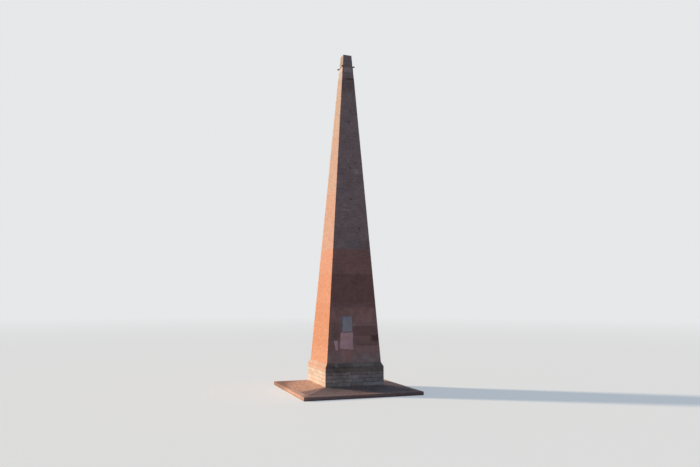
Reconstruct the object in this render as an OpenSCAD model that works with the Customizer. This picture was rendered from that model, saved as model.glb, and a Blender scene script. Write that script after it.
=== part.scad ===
// A brick obelisk beacon on a stone plinth, with a sloping stone apron round its foot.
// Millimetres, +Z up. The origin is on the ground, under the middle of the obelisk.
// The front faces -Y and holds the blocked opening; the left side faces -X.

/* [Apron] */
// Overall width of the apron, over its kerbs
apron_w = 7300; // [6400:50:9000]
// Fall of the apron from the plinth to the outer edge of its kerb
apron_fall = 250; // [100:10:400]
// Height of the kerb's outer face above the ground
kerb_h = 200; // [120:10:400]
// Width of the kerb stones
kerb_w = 300; // [200:10:400]

/* [Plinth] */
// Width of the plinth
plinth_w = 3700; // [3000:50:4600]
// Height of one course of the plinth's stones
plinth_course_h = 222; // [160:2:300]
// Height of the sloped weathering course
weathering_h = 250; // [150:10:400]
// Set-back of the brick shaft from the plinth's face, on each side
weathering_setback = 130; // [60:10:260]

/* [Brick shaft] */
// Height of one course of bricks with its bed joint
brick_gauge = 84; // [65:1:102]
// Courses in the lowest lift, which holds the blocked opening
lift_1_courses = 42; // [36:1:60]
// Courses in the second lift, of the darkest bricks
lift_2_courses = 22; // [12:1:30]
// Courses in the third lift
lift_3_courses = 18; // [12:1:30]
// Courses in the fourth lift, the first of the paler bricks
lift_4_courses = 45; // [30:1:60]
// Courses in the fifth lift
lift_5_courses = 44; // [30:1:60]
// Courses in the sixth lift
lift_6_courses = 44; // [30:1:60]

/* [Head] */
// Width of the head at the underside of the cap
head_w = 690; // [560:10:900]
// Height of the stone neck course
neck_h = 415; // [250:5:600]
// Height of the stone collar course
collar_h = 405; // [250:5:600]
// Height of the cap stone
cap_h = 760; // [500:10:1000]
// How far each side of the cap leans in between its foot and its top
cap_lean = 52.5; // [20:2.5:120]
// Set-back of the cap's foot from the collar's face
cap_setback = 10; // [5:1:30]

/* [Blocked opening] */
// Distance of the opening's middle to the left of the face's middle
opening_left = 435; // [0:5:700]
// Courses between the shaft's foot and the sill of the opening
opening_sill_courses = 9; // [3:1:14]
// Width of the lower, rendered blocking
blocking_lower_w = 800; // [500:10:1100]
// Courses that the lower blocking is high
blocking_lower_courses = 13; // [6:1:15]
// Width of the upper blocking slab, which meets the opening's right jamb
blocking_upper_w = 690; // [400:10:1000]
// Courses that the upper blocking slab is high
blocking_upper_courses = 11; // [5:1:13]
// Depth of the blockings into the wall
blocking_depth = 110; // [60:5:225]
// How far the face of the upper slab lies behind the brickwork
blocking_upper_recess = 15; // [5:1:40]
// Brickwork between the small repair and the lower blocking
repair_gap = 150; // [60:10:300]
// Width of the small repair
repair_w = 260; // [150:10:300]
// Courses that the small repair is high
repair_courses = 7; // [3:1:10]

/* [Putlog holes] */
// Width of a putlog hole, one header wide
putlog_w = 110; // [80:5:120]
// Depth of a putlog hole
putlog_depth = 160; // [100:10:225]
// Distance of the odd putlog hole to the right of the face's middle
odd_putlog_right = 520; // [300:10:700]

/* [Iron band] */
// Height of the band's bars
band_h = 80; // [60:5:100]
// Thickness of the band's bars
band_t = 12; // [8:1:16]
// Length of the ears that stand out at the corners
ear_l = 135; // [110:5:180]
// Gap between two ears
ear_gap = 16; // [8:1:24]
// Diameter of the bolts through the ears
bolt_d = 16; // [12:1:20]

/* [Hidden] */

// Levels, from the ground up
plinth_foot_z = kerb_h + apron_fall;
weathering_z = plinth_foot_z + 5 * plinth_course_h;
shaft_foot_z = weathering_z + weathering_h;
lift_courses = [lift_1_courses, lift_2_courses, lift_3_courses, lift_4_courses, lift_5_courses, lift_6_courses];
function courses_below(lift) = lift == 0 ? 0 : courses_below(lift - 1) + lift_courses[lift - 1];
function course_z(course) = shaft_foot_z + course * brick_gauge;
neck_z = course_z(courses_below(6));
collar_z = neck_z + neck_h;
cap_z = collar_z + collar_h;

// Widths of the shaft, which tapers in one straight line from the weathering to the cap
shaft_foot_w = plinth_w - 2 * weathering_setback;
function shaft_w(z) = shaft_foot_w + (head_w - shaft_foot_w) * (z - shaft_foot_z) / (cap_z - shaft_foot_z);
function face_y(z) = -shaft_w(z) / 2;

// The fall of the apron's surface, measured outward from the plinth's face
apron_slope = apron_fall / (apron_w / 2 - plinth_w / 2);
function apron_z(r) = plinth_foot_z - (r - plinth_w / 2) * apron_slope;

// Putlog holes: the lift each is in, counted from 0, its course in that lift,
// and its place to the right of the face's middle
putlogs = [[3, 15, odd_putlog_right], [3, lift_4_courses - 8, 0], [4, 16, 0], [5, 8, 0]];
// The cutters run this far past a face
past = 40;

stone_pale = [0.86, 0.77, 0.66];
stone_grey = [0.68, 0.63, 0.56];
stone_pink = [0.72, 0.55, 0.47];
brick_mottled = [0.74, 0.47, 0.36];
brick_dark = [0.63, 0.38, 0.30];
brick_red = [0.70, 0.43, 0.33];
brick_buff = [0.72, 0.54, 0.43];
render_pink = [0.85, 0.68, 0.62];
slab_blue = [0.62, 0.64, 0.64];
iron = [0.24, 0.22, 0.20];

// A square block that tapers evenly on all four sides
module tapered_block(foot_w, top_w, h) {
    side = [[-foot_w / 2, 0], [foot_w / 2, 0], [top_w / 2, h], [-top_w / 2, h]];
    widest = max(foot_w, top_w) + 2 * past;
    intersection() {
        rotate([90, 0, 0]) linear_extrude(widest, center = true) polygon(side);
        rotate([90, 0, 90]) linear_extrude(widest, center = true) polygon(side);
    }
}

// A block set in the front face: it follows the batter, from one course to another
module face_block(x, w, z0, z1, recess, depth) {
    side = [[face_y(z0) + recess, z0], [face_y(z0) + depth, z0],
            [face_y(z1) + depth, z1], [face_y(z1) + recess, z1]];
    translate([x, 0, 0]) rotate([90, 0, 90]) linear_extrude(w, center = true) polygon(side);
}

// One side of the apron, between two distances from the middle, mitred at the hips
module apron_run(r0, r1) {
    section = [[-r1, 0], [-r0, 0], [-r0, apron_z(r0)], [-r1, apron_z(r1)]];
    plan = [[-r0, -r0], [r0, -r0], [r1, -r1], [-r1, -r1]];
    intersection() {
        rotate([90, 0, 90]) linear_extrude(2 * r1, center = true) polygon(section);
        linear_extrude(plinth_foot_z) polygon(plan);
    }
}

module apron_side() color(stone_pink) apron_run(plinth_w / 2, apron_w / 2 - kerb_w);
module kerb_side() color(stone_pale) apron_run(apron_w / 2 - kerb_w, apron_w / 2);

module footing() {
    color(stone_grey) translate([-plinth_w / 2, -plinth_w / 2, 0]) cube([plinth_w, plinth_w, plinth_foot_z]);
}
module apron_front() apron_side();
module apron_right() rotate([0, 0, 90]) apron_side();
module apron_back() rotate([0, 0, 180]) apron_side();
module apron_left() rotate([0, 0, 270]) apron_side();
module kerb_front() kerb_side();
module kerb_right() rotate([0, 0, 90]) kerb_side();
module kerb_back() rotate([0, 0, 180]) kerb_side();
module kerb_left() rotate([0, 0, 270]) kerb_side();

// One course of the plinth's squared stones, counted from 0 at the foot
module plinth_course(course) {
    color(stone_pale) translate([-plinth_w / 2, -plinth_w / 2, plinth_foot_z + course * plinth_course_h])
        cube([plinth_w, plinth_w, plinth_course_h]);
}
module plinth_course_1() plinth_course(0);
module plinth_course_2() plinth_course(1);
module plinth_course_3() plinth_course(2);
module plinth_course_4() plinth_course(3);
module plinth_course_5() plinth_course(4);

module weathering_course() {
    color(stone_pale) translate([0, 0, weathering_z]) tapered_block(plinth_w, shaft_foot_w, weathering_h);
}

// One lift of solid brickwork, counted from 0 at the foot
module lift_body(lift) {
    z0 = course_z(courses_below(lift));
    z1 = course_z(courses_below(lift + 1));
    translate([0, 0, z0]) tapered_block(shaft_w(z0), shaft_w(z1), z1 - z0);
}

// The putlog holes that fall in one lift, sunk in the front and back faces
module putlog_cuts(lift) {
    for (hole = putlogs)
        if (hole[0] == lift) {
            course = courses_below(lift) + hole[1];
            for (turn = [0, 180])
                rotate([0, 0, turn])
                    face_block(hole[2], putlog_w, course_z(course), course_z(course + 1), -past, putlog_depth);
        }
}

module lift_with_putlogs(lift) {
    difference() {
        lift_body(lift);
        putlog_cuts(lift);
    }
}

// The place of each blocking in the front face, with its front face drawn back by recess
opening_z = course_z(opening_sill_courses);
opening_mid_z = course_z(opening_sill_courses + blocking_lower_courses);
opening_top_z = course_z(opening_sill_courses + blocking_lower_courses + blocking_upper_courses);
repair_top_z = course_z(opening_sill_courses + repair_courses);
repair_left = opening_left + blocking_lower_w / 2 + repair_gap + repair_w / 2;
right_jamb_left = opening_left - blocking_lower_w / 2;
upper_left = right_jamb_left + blocking_upper_w / 2;
module lower_place(recess) {
    face_block(-opening_left, blocking_lower_w, opening_z, opening_mid_z, recess, blocking_depth);
}
module upper_place(recess) {
    face_block(-upper_left, blocking_upper_w, opening_mid_z, opening_top_z, recess, blocking_depth);
}
module repair_place(recess) {
    face_block(-repair_left, repair_w, opening_z, repair_top_z, recess, blocking_depth);
}

module shaft_lift_1() {
    color(brick_mottled) difference() {
        lift_body(0);
        lower_place(-past);
        upper_place(-past);
        repair_place(-past);
    }
}
module shaft_lift_2() color(brick_dark) lift_with_putlogs(1);
module shaft_lift_3() color(brick_red) lift_with_putlogs(2);
module shaft_lift_4() color(brick_buff) lift_with_putlogs(3);
module shaft_lift_5() color(brick_buff) lift_with_putlogs(4);
module shaft_lift_6() color(brick_buff) lift_with_putlogs(5);

module blocking_lower() color(render_pink) lower_place(0);
module blocking_upper() color(slab_blue) upper_place(blocking_upper_recess);
module repair_patch() color(render_pink) repair_place(0);

module neck_course() {
    color(stone_grey) translate([0, 0, neck_z]) tapered_block(shaft_w(neck_z), shaft_w(collar_z), neck_h);
}

// The collar has an upright seat for the iron band round its top
module collar_course() {
    seat_z = cap_z - band_h;
    color(stone_pale) union() {
        translate([0, 0, collar_z]) tapered_block(shaft_w(collar_z), shaft_w(seat_z), seat_z - collar_z);
        translate([-head_w / 2, -head_w / 2, seat_z]) cube([head_w, head_w, band_h]);
    }
}

module cap_stone() {
    cap_foot_w = head_w - 2 * cap_setback;
    color(stone_grey) translate([0, 0, cap_z]) tapered_block(cap_foot_w, cap_foot_w - 2 * cap_lean, cap_h);
}

// The front bar of the iron band, with its two ears bent outward along the corners' diagonals.
// Two neighbouring ears stand one gap apart and a bolt goes through both.
diagonal = sqrt(0.5);
half_gap = ear_gap / 2;
ear_hole_s = ear_l - 2 * bolt_d;
hole_clearance = 2;
module band_bar() {
    corner = [head_w / 2 - half_gap / diagonal, -head_w / 2];
    tip = corner + ear_l * [diagonal, -diagonal];
    tip_out = tip - band_t * [diagonal, diagonal];
    bend = [corner[0] - band_t * (1 / diagonal - 1), corner[1] - band_t];
    right = [corner, tip, tip_out, bend];
    left = [for (i = [3 : -1 : 0]) [-right[i][0], right[i][1]]];
    difference() {
        translate([0, 0, cap_z - band_h]) linear_extrude(band_h) polygon(concat(right, left));
        for (side = [0, -90])
            rotate([0, 0, side]) ear_bolt_axis()
                cylinder(d = bolt_d + hole_clearance, h = 3 * ear_l, center = true, $fn = 32);
    }
}

// The frame of a bolt in the front right corner: its axis lies across the diagonal
module ear_bolt_axis() {
    reach = ear_hole_s * diagonal;
    translate([head_w / 2 + reach, -head_w / 2 - reach, cap_z - band_h / 2]) rotate([0, 90, 45]) children();
}

module band_front() color(iron) band_bar();
module band_right() color(iron) rotate([0, 0, 90]) band_bar();
module band_back() color(iron) rotate([0, 0, 180]) band_bar();
module band_left() color(iron) rotate([0, 0, 270]) band_bar();

// Four bolts, each with its head against one ear and its nut against the other
bolt_head_h = 10;
bolt_nut_h = 13;
bolt_flats = 1.5 * bolt_d;
bolt_tail = 6;
module band_bolts() {
    grip = half_gap + band_t;
    across_corners = bolt_flats / cos(30);
    color(iron) for (turn = [0 : 90 : 270])
        rotate([0, 0, turn]) ear_bolt_axis() {
            translate([0, 0, -grip]) cylinder(d = bolt_d, h = 2 * grip + bolt_nut_h + bolt_tail, $fn = 32);
            translate([0, 0, -grip - bolt_head_h]) cylinder(d = across_corners, h = bolt_head_h, $fn = 6);
            translate([0, 0, grip]) cylinder(d = across_corners, h = bolt_nut_h, $fn = 6);
        }
}

footing();
apron_front();
apron_right();
apron_back();
apron_left();
kerb_front();
kerb_right();
kerb_back();
kerb_left();
plinth_course_1();
plinth_course_2();
plinth_course_3();
plinth_course_4();
plinth_course_5();
weathering_course();
shaft_lift_1();
shaft_lift_2();
shaft_lift_3();
shaft_lift_4();
shaft_lift_5();
shaft_lift_6();
blocking_lower();
blocking_upper();
repair_patch();
neck_course();
collar_course();
cap_stone();
band_front();
band_right();
band_back();
band_left();
band_bolts();
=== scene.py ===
import math
from itertools import product
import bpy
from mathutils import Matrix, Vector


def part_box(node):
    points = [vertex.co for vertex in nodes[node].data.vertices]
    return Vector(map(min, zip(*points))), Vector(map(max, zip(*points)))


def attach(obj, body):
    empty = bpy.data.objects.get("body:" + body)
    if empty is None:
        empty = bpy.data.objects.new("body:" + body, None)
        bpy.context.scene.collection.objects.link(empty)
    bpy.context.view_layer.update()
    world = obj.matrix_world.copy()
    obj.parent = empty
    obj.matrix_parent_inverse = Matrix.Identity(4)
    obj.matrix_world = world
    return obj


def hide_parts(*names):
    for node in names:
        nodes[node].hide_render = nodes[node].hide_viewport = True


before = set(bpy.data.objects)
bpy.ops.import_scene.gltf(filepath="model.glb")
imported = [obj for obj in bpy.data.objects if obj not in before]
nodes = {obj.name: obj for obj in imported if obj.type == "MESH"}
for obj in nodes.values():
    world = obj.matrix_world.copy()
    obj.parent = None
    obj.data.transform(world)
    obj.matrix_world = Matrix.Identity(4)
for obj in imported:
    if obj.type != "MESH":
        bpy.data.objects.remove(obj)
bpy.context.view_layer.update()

from types import SimpleNamespace

import bpy
import numpy as np
from mathutils import Euler, Matrix

# Footing. The core of rough rubble that carries the plinth, built in lime mortar inside the apron.
# Nothing of it shows while the apron lies over it. It is the plainest of the mineral surfaces here,
# so what they all share is defined with it: a stone's tone, its grit and the relief of its face.


def linear(hex_colour):
    """An sRGB hex colour as linear red, green, blue and alpha."""
    channels = [int(hex_colour[i:i + 2], 16) / 255 for i in (1, 3, 5)]
    return (*[c / 12.92 if c <= 0.04045 else ((c + 0.055) / 1.055) ** 2.4 for c in channels], 1)


def add(tree, kind, inputs=None, stops=(), **settings):
    """Adds one node. inputs gives each input its value or what to link: an output, or a node for its first
    output. stops are the hex colours that a ramp runs through."""
    node = tree.nodes.new("ShaderNode" + kind)
    for name, value in settings.items():
        setattr(node, name, value)
    for name, value in (inputs or {}).items():
        if isinstance(value, bpy.types.Node):
            value = value.outputs[0]
        if isinstance(value, bpy.types.NodeSocket):
            tree.links.new(value, node.inputs[name])
        else:
            node.inputs[name].default_value = value
    last = len(stops) - 1
    for i, colour in enumerate(stops):
        points = node.color_ramp.elements
        point = points.new(i / last) if 0 < i < last else points[-(i > 0)]
        point.color = linear(colour)
    return node


def per_metre(size_mm):
    """The texture scale at which a pattern's features are about this many millimetres across."""
    return 1000 / size_mm


def paint(look, colour):
    """Makes this output the colour of the look's surface."""
    look.colour = colour
    look.tree.links.new(colour, look.shader.inputs["Base Color"])


def mineral(name, tones, cloud_mm, grit_mm, relief_mm, roughness, by_unit=0.0, reach=2.0):
    """A mineral surface. Its tone comes from soft clouds and, by the share by_unit, from each unit's own
    tone. The grit gives it darker grains, with painted shade where its relief sinks, and stands out as
    relief.
    All of it lies within reach metres of the obelisk's axis, which bounds the stains on its front."""
    material = bpy.data.materials.new(name)
    material.use_nodes = True
    tree = material.node_tree
    look = SimpleNamespace(material=material, tree=tree, shader=tree.nodes["Principled BSDF"], reach=reach)
    look.place = add(tree, "TexCoord").outputs["Object"]
    cloud = add(tree, "TexNoise", {"Vector": look.place, "Scale": per_metre(cloud_mm), "Detail": 5,
                                   "Roughness": 0.6})
    spread = add(tree, "MapRange", {"Value": cloud.outputs["Fac"], "From Min": 0.3, "From Max": 0.7})
    tone = spread
    if by_unit:
        unit = add(tree, "Attribute", attribute_name="tone")
        tone = add(tree, "Mix", {0: by_unit, 2: spread, 3: unit.outputs["Fac"]})
    ramp = add(tree, "ValToRGB", {"Fac": tone}, stops=tones)
    grit = add(tree, "TexNoise", {"Vector": look.place, "Scale": per_metre(grit_mm), "Detail": 4,
                                  "Roughness": 0.65})
    # Partly darker grains and partly painted shade: the colour darkens where the grit lowers the relief
    grain_and_hollow_shade = add(tree, "MapRange", {"Value": grit.outputs["Fac"], "From Min": 0.3, "From Max": 0.65,
                                    "To Min": 0.8, "To Max": 1.06})
    gritty = add(tree, "Mix", {0: 1.0, 6: ramp, 7: grain_and_hollow_shade},
                 data_type="RGBA", blend_type="MULTIPLY")
    worn = add(tree, "MapRange", {"Value": grit.outputs["Fac"], "From Min": 0.3, "From Max": 0.7,
                                  "To Min": roughness + 0.06, "To Max": roughness - 0.06})
    height = add(tree, "Math", {0: cloud.outputs["Fac"], 1: grit.outputs["Fac"]}, operation="ADD")
    bump = add(tree, "Bump", {"Strength": 0.8, "Distance": relief_mm / 1000, "Height": height})
    tree.links.new(worn.outputs[0], look.shader.inputs["Roughness"])
    tree.links.new(bump.outputs[0], look.shader.inputs["Normal"])
    look.shader.inputs["Specular IOR Level"].default_value = 0.3
    shift = add(tree, "TexNoise", {"Vector": look.place, "Scale": per_metre(300), "Detail": 7,
                                   "Roughness": 0.72})
    look.shift = add(tree, "VectorMath", {0: shift.outputs["Color"], 1: (0.5, 0.5, 0.5)},
                     operation="SUBTRACT")
    paint(look, gritty.outputs[2])
    return look


def wandering(look, metres):
    """The place in the look's space, moved at random by up to this many metres."""
    spread = (4 * metres, 4 * metres, 3 * metres)
    return add(look.tree, "VectorMath", {0: look.shift, 1: spread, 2: look.place}, operation="MULTIPLY_ADD")


def stain(look, low, high, soft, colour, strength, blend="MIX", wander=0.12, patch_mm=0, front=False,
          units=False):
    """Stains a box of space, from corner low to corner high. Its edge wanders and fades over the width soft.
    patch_mm breaks it into patches of about this size, front keeps it to the front face, and units puts it
    only on the units of darker tone."""
    tree = look.tree
    low, high = np.array(low), np.array(high)
    away = add(tree, "VectorMath", {0: wandering(look, wander), 1: (low + high) / 2}, operation="SUBTRACT")
    far = add(tree, "VectorMath", {0: away}, operation="ABSOLUTE")
    past = add(tree, "VectorMath", {0: far, 1: (high - low) / 2}, operation="SUBTRACT")
    axes = add(tree, "SeparateXYZ", {0: past})
    level = add(tree, "Math", {0: axes.outputs[0], 1: axes.outputs[1]}, operation="MAXIMUM")
    most = add(tree, "Math", {0: level, 1: axes.outputs[2]}, operation="MAXIMUM")
    mask = add(tree, "MapRange", {"Value": most, "From Min": -soft / 2, "From Max": soft / 2,
                                  "To Min": strength, "To Max": 0.0}, interpolation_type="SMOOTHSTEP")
    if patch_mm:
        cloud = add(tree, "TexNoise", {"Vector": look.place, "Scale": per_metre(patch_mm), "Detail": 4})
        patch = add(tree, "MapRange", {"Value": cloud.outputs["Fac"], "From Min": 0.4, "From Max": 0.62},
                    interpolation_type="SMOOTHSTEP")
        mask = add(tree, "Math", {0: mask, 1: patch}, operation="MULTIPLY")
    if units:
        own = add(tree, "Attribute", attribute_name="tone")
        takes = add(tree, "MapRange", {"Value": own.outputs["Fac"], "From Min": 0.65, "From Max": 0.2})
        mask = add(tree, "Math", {0: mask, 1: takes}, operation="MULTIPLY")
    if front:
        # On the front face y is less than -|x|, up to the arrises
        at = add(tree, "SeparateXYZ", {0: look.place})
        across = add(tree, "Math", {0: at.outputs[0]}, operation="ABSOLUTE")
        round_arris = add(tree, "Math", {0: across, 1: at.outputs[1]}, operation="ADD")
        facing = add(tree, "MapRange", {"Value": round_arris, "From Min": -0.012, "From Max": 0.0,
                                        "To Min": 1.0, "To Max": 0.0})
        mask = add(tree, "Math", {0: mask, 1: facing}, operation="MULTIPLY")
    stained = add(tree, "Mix", {0: mask, 6: look.colour, 7: linear(colour)},
                  data_type="RGBA", blend_type=blend)
    paint(look, stained.outputs[2])


def speckle(look, spacing_mm, size, share, colour, strength):
    """Ragged spots on a grid of about spacing_mm, in this share of its cells. The largest one's radius is
    size times the spacing."""
    tree = look.tree
    ruffle = add(tree, "TexNoise", {"Vector": look.place, "Scale": per_metre(spacing_mm * 0.5), "Detail": 4,
                                    "Roughness": 0.7})
    ragged = add(tree, "VectorMath", {0: ruffle.outputs["Color"], 1: (spacing_mm / 1000,) * 3,
                                      2: look.place}, operation="MULTIPLY_ADD")
    spots = add(tree, "TexVoronoi", {"Vector": ragged, "Scale": per_metre(spacing_mm)})
    one = add(tree, "SeparateXYZ", {0: spots.outputs["Color"]})
    chosen = add(tree, "Math", {0: one.outputs[0], 1: share}, operation="LESS_THAN")
    own_size = add(tree, "MapRange", {"Value": one.outputs[1], "To Min": size * 0.35, "To Max": size})
    out = add(tree, "Math", {0: spots.outputs["Distance"], 1: own_size}, operation="DIVIDE")
    disc = add(tree, "MapRange", {"Value": out, "From Min": 0.6, "From Max": 1.0,
                                  "To Min": strength, "To Max": 0.0}, interpolation_type="SMOOTHSTEP")
    mask = add(tree, "Math", {0: chosen, 1: disc}, operation="MULTIPLY")
    spotted = add(tree, "Mix", {0: mask, 6: look.colour, 7: linear(colour)}, data_type="RGBA")
    paint(look, spotted.outputs[2])


def wear_on_node(name, look):
    """Gives a CAD node this look."""
    nodes[name].material_slots[0].material = look.material


# Rubble: undressed grey-brown stones in mortar. To the eye it is a dull, uneven brown.
rubble = mineral("rough_rubble", ("#6a5a4c", "#8b7865", "#a3907b"), cloud_mm=220, grit_mm=9, relief_mm=4,
                 roughness=0.92)
wear_on_node("footing", rubble)

# Apron. A skirt of hand-dressed sandstone setts pitched from the plinth down to the kerb, so that
# water drains off. They are laid in rows along each side on a bed of lime mortar and meet in a
# mitre at the hips. A worn sett is rounded along its edges, which the blocks made here all are.
SIDES = ("front", "right", "back", "left")
plinth_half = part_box("plinth_course_1")[1].x
plinth_foot_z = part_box("plinth_course_1")[0].z
kerb_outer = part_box("kerb_right")[1].x
kerb_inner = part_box("apron_right")[1].x
KERB_EDGE_Z = 0.2
apron_fall = (plinth_foot_z - KERB_EDGE_Z) / (kerb_outer - plinth_half)


def apron_z(reach):
    """Height of the apron's surface at this distance from the obelisk's axis."""
    return plinth_foot_z - (reach - plinth_half) * apron_fall


def turned(points, side):
    """Points of the front side, turned about the obelisk's axis to the side with this number."""
    x, y = points[..., 0], points[..., 1]
    for _ in range(side):
        x, y = -y, x
    return np.stack([x, y, points[..., 2]], -1)


def undulation(points, wavelength, rng):
    """A smooth field of random vectors of about unit length: swells this far apart, with finer ones on
    them."""
    field = 0
    for finer in (1, 2.3, 5.3):
        ways = rng.normal(size=(6, 3))
        lengths = np.linalg.norm(ways, axis=1)
        ways *= (2 * math.pi * finer / wavelength * rng.uniform(0.6, 1.5, 6) / lengths)[:, None]
        angles = points @ ways.T
        field = field + np.sin(angles[..., None] + rng.uniform(0, 2 * math.pi, (6, 3))).sum(-2) / finer
    return field / 2


def make_piece(name, points, faces, tones, look, places=None):
    """Makes one piece of many like blocks. tones has a number from 0 to 1 for each face."""
    mesh = bpy.data.meshes.new(name)
    mesh.from_pydata(points, [], faces)
    mesh.attributes.new("tone", "FLOAT", "FACE").data.foreach_set("value", tones.astype(np.float32))
    mesh.shade_smooth()
    if places is not None:
        mesh.uv_layers.new(name="OFBake").uv.foreach_set("vector", places.astype(np.float32).ravel())
    mesh.materials.append(look.material)
    piece = bpy.data.objects.new(name, mesh)
    bpy.context.scene.collection.objects.link(piece)
    piece.modifiers.new("flat faces between soft edges", "WEIGHTED_NORMAL")
    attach(piece, "root")
    return piece


# A block's eight corners, each as its end, 0 or 1, along the three axes
CORNERS = list(product((0, 1), repeat=3))


def block_skin(cells):
    """The grid points on a block's skin, its four-sided faces and the side of the block that each is on.
    A narrow strip of faces runs along each edge."""
    last = np.array(cells) + 2
    grid = np.stack(np.meshgrid(*[np.arange(n + 1) for n in last], indexing="ij"), -1).reshape(-1, 3)
    on_skin = ((grid == 0) | (grid == last)).any(axis=1)
    number = (np.cumsum(on_skin) - 1).reshape(last + 1)
    faces, sides = [], []
    for axis in range(3):
        a, b = (axis + 1) % 3, (axis + 2) % 3
        for level, i, j in product((0, last[axis]), range(last[a]), range(last[b])):
            corner = np.zeros((4, 3), int)
            corner[:, axis] = level
            corner[:, a] = (i, i + 1, i + 1, i)
            corner[:, b] = (j, j, j + 1, j + 1)
            face = number[tuple(corner.T)]
            faces.append(face if level else face[::-1])
            sides.append((axis, int(level > 0)))
    return grid[on_skin], last, np.array(faces), sides


def net(shares, faces, sides, shown, lengths):
    """The map for baking like blocks: a plot for each block, most of it for the sides that are shown."""
    count = len(shares)
    # The axes that run across and up a side, for one that faces along each axis
    across, upward = (1, 0, 0), (2, 2, 1)
    wide = sum(lengths[across[axis]].mean() for axis, _ in shown)
    columns = max(1, round(math.sqrt(count * lengths[upward[shown[0][0]]].mean() / wide)))
    lines = -(-count // columns)
    rest = [s for s in product(range(3), range(2)) if s not in shown]
    # The sides that show lie side by side on the left of the plot, the others above each other on its right
    plots = {s: (0.86 * i / len(shown), 0, 0.84 / len(shown), 0.97) for i, s in enumerate(shown)}
    plots.update({s: (0.87, i / len(rest), 0.11, 0.8 / len(rest)) for i, s in enumerate(rest)})
    places = np.empty((count, len(faces), 4, 2))
    for i, side in enumerate(sides):
        left, foot, width, height = plots[side]
        at = shares[:, faces[i]]
        places[:, i, :, 0] = left + width * at[..., across[side[0]]]
        places[:, i, :, 1] = foot + height * at[..., upward[side[0]]]
    plot = np.stack([np.arange(count) % columns, np.arange(count) // columns], -1)
    return ((places + plot[:, None, None]) / np.array([columns, lines])).reshape(-1, 2)


# No face wanders further than this many times its sway, so that none dips behind the mortar
MOST_SWAY = 1.4
# A rounded edge lies this share of its strip inside the sharp one, and a rounded corner this share
EDGE_PULL, CORNER_PULL = 0.293, 0.423


def worn_blocks(name, corners, look, rng, wear, cells=(1, 1, 1), sway=(0, 0, 0), swell=0.3,
                chipped=0.0, shown=((1, 0), (0, 1))):
    """One piece of blocks with worn edges. corners[block, along, into, up] are each block's eight corners,
    wear is the width of its rounded edges, and sway is how far its faces wander along the three axes, in
    metres. chipped is the share of blocks with a broken corner, and shown lists the sides that show, as
    (axis, end)."""
    grid, last, faces, sides = block_skin(cells)
    count, outer = len(corners), (grid == 0) | (grid == last)
    pull = np.array([0, 0, EDGE_PULL, CORNER_PULL])[outer.sum(axis=1)]
    spans = [np.linalg.norm(np.diff(corners, axis=a + 1), axis=-1) for a in range(3)]
    lengths = [span.reshape(count, -1).mean(axis=1) for span in spans]
    widths = wear * rng.uniform(0.7, 1.5, count)
    shares = np.empty((count, len(grid), 3))
    for axis in range(3):
        strip = (widths / lengths[axis])[:, None]
        shares[..., axis] = strip + (grid[:, axis] - 1) / cells[axis] * (1 - 2 * strip)
        low, high = grid[:, axis] == 0, grid[:, axis] == last[axis]
        shares[:, low, axis] = strip * pull[low]
        shares[:, high, axis] = 1 - strip * pull[high]
    points = np.zeros((count, len(grid), 3))
    for way in CORNERS:
        weight = np.prod([shares[..., a] if w else 1 - shares[..., a] for a, w in enumerate(way)], axis=0)
        points += weight[..., None] * corners[:, way[0], way[1], way[2]][:, None, :]
    apart = rng.uniform(-9, 9, (count, 1, 3))
    points += MOST_SWAY * np.tanh(undulation(points + apart, swell, rng) / MOST_SWAY) * np.array(sway)
    middle = corners.mean(axis=(1, 2, 3))
    for block in np.flatnonzero(rng.uniform(size=count) < chipped):
        spot = corners[block, rng.integers(2), 0, rng.integers(2)]
        depth = rng.uniform(0.5, 1.1) * wear
        near = np.clip(1 - np.linalg.norm(points[block] - spot, axis=1) / (5 * depth), 0, 1)
        inward = middle[block] - spot
        points[block] += near[:, None] * depth * inward / np.linalg.norm(inward)
    tones = np.repeat(rng.uniform(size=count), len(faces))
    all_faces = (faces[None] + (np.arange(count) * len(grid))[:, None, None]).reshape(-1, 4)
    places = net(shares, faces, sides, shown, lengths) if count > 12 else None
    return make_piece(name, points.reshape(-1, 3), all_faces, tones, look, places)


def stone_lengths(total, least, most, rng):
    """The joints along a run of stones of random length, as distances from the run's start."""
    count = max(1, round(total / rng.uniform((2 * least + most) / 3, (least + 2 * most) / 3)))
    lengths = rng.uniform(least, most, count)
    return np.concatenate([[0], np.cumsum(lengths)]) * total / lengths.sum()


# Lime mortar: grit and slaked lime, struck flush and since washed back. It is matt, pale and rough.
bed_mortar = mineral("lime_mortar_of_the_apron", ("#7d6554", "#96806c", "#ab9682"), cloud_mm=90,
                     grit_mm=3, relief_mm=1.5, roughness=0.95)
# Dressed sandstone setts: pinkish brown and matt, each of its own shade, with a tooled face gone soft.
sett_stone = mineral("dressed_sandstone_setts", ("#c08d73", "#d59f81", "#e1ad8e", "#e5b79b"), cloud_mm=150,
                     grit_mm=5, relief_mm=3, roughness=0.9, by_unit=0.5)
speckle(sett_stone, 45, 0.4, 0.12, "#9a7868", 0.5)
# The back of the left side is redder and damper. The front is darkened blue-grey all over, partly damp and
# partly painted shade
stain(sett_stone, (-3.9, 2.2, 0), (-2.3, 3.9, 1), 1.0, "#8c4f3c", 0.6, wander=0.2)
stain(sett_stone, (-4, 1.2, 0), (-3.1, 4.6, 1), 1.2, "#8a7a70", 0.5, "MULTIPLY")
stain(sett_stone, (-3.4, -3.5, 0), (3.4, -1.8, 1), 0.6, "#78839f", 0.75, "MULTIPLY")
# Painted shade: darker and bluer next to the plinth's foot, where the obelisk's shadow lies
stain(sett_stone, (-1.9, -2.7, 0), (1.9, -1.7, 1), 0.9, "#a6d4dd", 0.5, "MULTIPLY")
# Painted shade: bluer on the right of the front, inside the obelisk's shadow
stain(sett_stone, (0.4, -3.5, 0), (3.5, -2.2, 1), 0.8, "#a2d7ff", 0.38, "MULTIPLY")
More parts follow.
